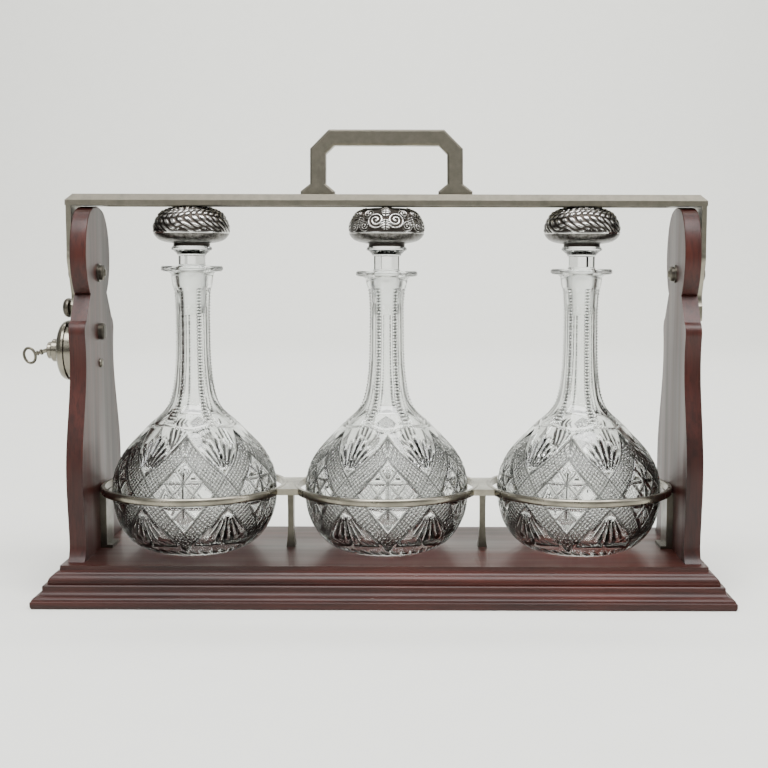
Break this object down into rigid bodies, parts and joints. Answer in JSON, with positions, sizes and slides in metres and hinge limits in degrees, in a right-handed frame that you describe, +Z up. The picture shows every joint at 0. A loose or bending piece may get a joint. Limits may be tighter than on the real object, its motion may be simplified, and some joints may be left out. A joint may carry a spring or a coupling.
{
  "type": "three-bottle decanter stand with locking bar",
  "caption": "Wooden stand with a hinged, lockable carrying bar over cut-glass globe decanters with metal-capped stoppers, held in a metal ring cradle.",
  "frame": {"origin": "centre of the base's underside", "axes": "+X to the viewer's right along the row of decanters, +Y to the back, +Z up"},
  "size_m": [0.5057, 0.1634, 0.3292],
  "materials": {
    "mahogany": "dark red-brown polish, slightly worn",
    "cradle_metal": "dull plated",
    "cut_glass": "polished, deep cut",
    "embossed_silver": "embossed, darkened in the hollows",
    "satin_nickel": "satin plated",
    "worn_fittings": "tarnished",
    "lock_metal": "polished, tarnished in the corners",
    "key_metal": "worn bright"
  },
  "bodies": {
    "stand": {"base_board": "mahogany", "base_plinth": "mahogany", "board_screws": "worn_fittings", "bracket_screws": "worn_fittings", "bridge_left": "cradle_metal", "bridge_right": "cradle_metal", "end_bracket_left": "cradle_metal", "end_bracket_right": "cradle_metal", "end_panel_left": "mahogany", "end_panel_right": "mahogany", "lock_backplate": "lock_metal", "lock_barrel": "lock_metal", "lock_case": "lock_metal", "lock_nut": "worn_fittings", "lock_screw": "worn_fittings", "lock_stud": "worn_fittings", "panel_screws": "worn_fittings", "pillar_left": "cradle_metal", "pillar_right": "cradle_metal", "pivot_bolt_left": "worn_fittings", "pivot_bolt_right": "worn_fittings", "pivot_nut_left": "worn_fittings", "pivot_nut_right": "worn_fittings", "pivot_spacer_left": "worn_fittings", "pivot_spacer_right": "worn_fittings", "pivot_washer_left": "worn_fittings", "pivot_washer_right": "worn_fittings", "ring_left": "cradle_metal", "ring_middle": "cradle_metal", "ring_right": "cradle_metal"},
    "locking_bar": {"top_bar": "satin_nickel", "bar_lip_front": "satin_nickel", "bar_lip_back": "satin_nickel", "bar_end_left": "satin_nickel", "bar_end_right": "satin_nickel", "handle": "satin_nickel", "arm_left": "satin_nickel", "arm_right": "satin_nickel", "thumb_knob": "satin_nickel", "handle_screws": "worn_fittings"},
    "lock_key": {"key": "key_metal"},
    "bolt": {"lock_bolt": "worn_fittings"},
    "bottle_left": {"decanter_left": "cut_glass"},
    "stopper_left": {"stopper_glass_left": "cut_glass", "stopper_cap_left": "embossed_silver"},
    "bottle_middle": {"decanter_middle": "cut_glass"},
    "stopper_middle": {"stopper_glass_middle": "cut_glass", "stopper_cap_middle": "embossed_silver"},
    "bottle_right": {"decanter_right": "cut_glass"},
    "stopper_right": {"stopper_glass_right": "cut_glass", "stopper_cap_right": "embossed_silver"}
  },
  "joints": [
    {"name": "bar_swing", "type": "hinge", "parent": "stand", "child": "locking_bar", "pos_m": [0, 0, 0.227], "axis": [-1, 0, 0], "range_deg": [0, 110]},
    {"name": "key_turn", "type": "hinge", "parent": "stand", "child": "lock_key", "pos_m": [-0.23, 0, 0.1706], "axis": [1, 0, 0], "range_deg": [0, 90]},
    {"name": "bolt_throw", "type": "slide", "parent": "stand", "child": "bolt", "axis": [0, 0, 1], "range_m": [0, 0.005]},
    {"name": "bottle_left_turn", "type": "hinge", "parent": "stand", "child": "bottle_left", "pos_m": [-0.141, 0, 0.1], "axis": [0, 0, 1], "continuous": true},
    {"name": "stopper_left_twist", "type": "hinge", "parent": "bottle_left", "child": "stopper_left", "pos_m": [-0.141, 0, 0.22], "axis": [0, 0, 1], "continuous": true},
    {"name": "bottle_middle_turn", "type": "hinge", "parent": "stand", "child": "bottle_middle", "pos_m": [0, 0, 0.1], "axis": [0, 0, 1], "continuous": true},
    {"name": "stopper_middle_twist", "type": "hinge", "parent": "bottle_middle", "child": "stopper_middle", "pos_m": [0, 0, 0.22], "axis": [0, 0, 1], "continuous": true},
    {"name": "bottle_right_turn", "type": "hinge", "parent": "stand", "child": "bottle_right", "pos_m": [0.141, 0, 0.1], "axis": [0, 0, 1], "continuous": true},
    {"name": "stopper_right_twist", "type": "hinge", "parent": "bottle_right", "child": "stopper_right", "pos_m": [0.141, 0, 0.22], "axis": [0, 0, 1], "continuous": true}
  ],
  "couplings": [
    {"joint": "key_turn", "follows": "bolt_throw", "rad_per_m": 314.16}
  ]
}
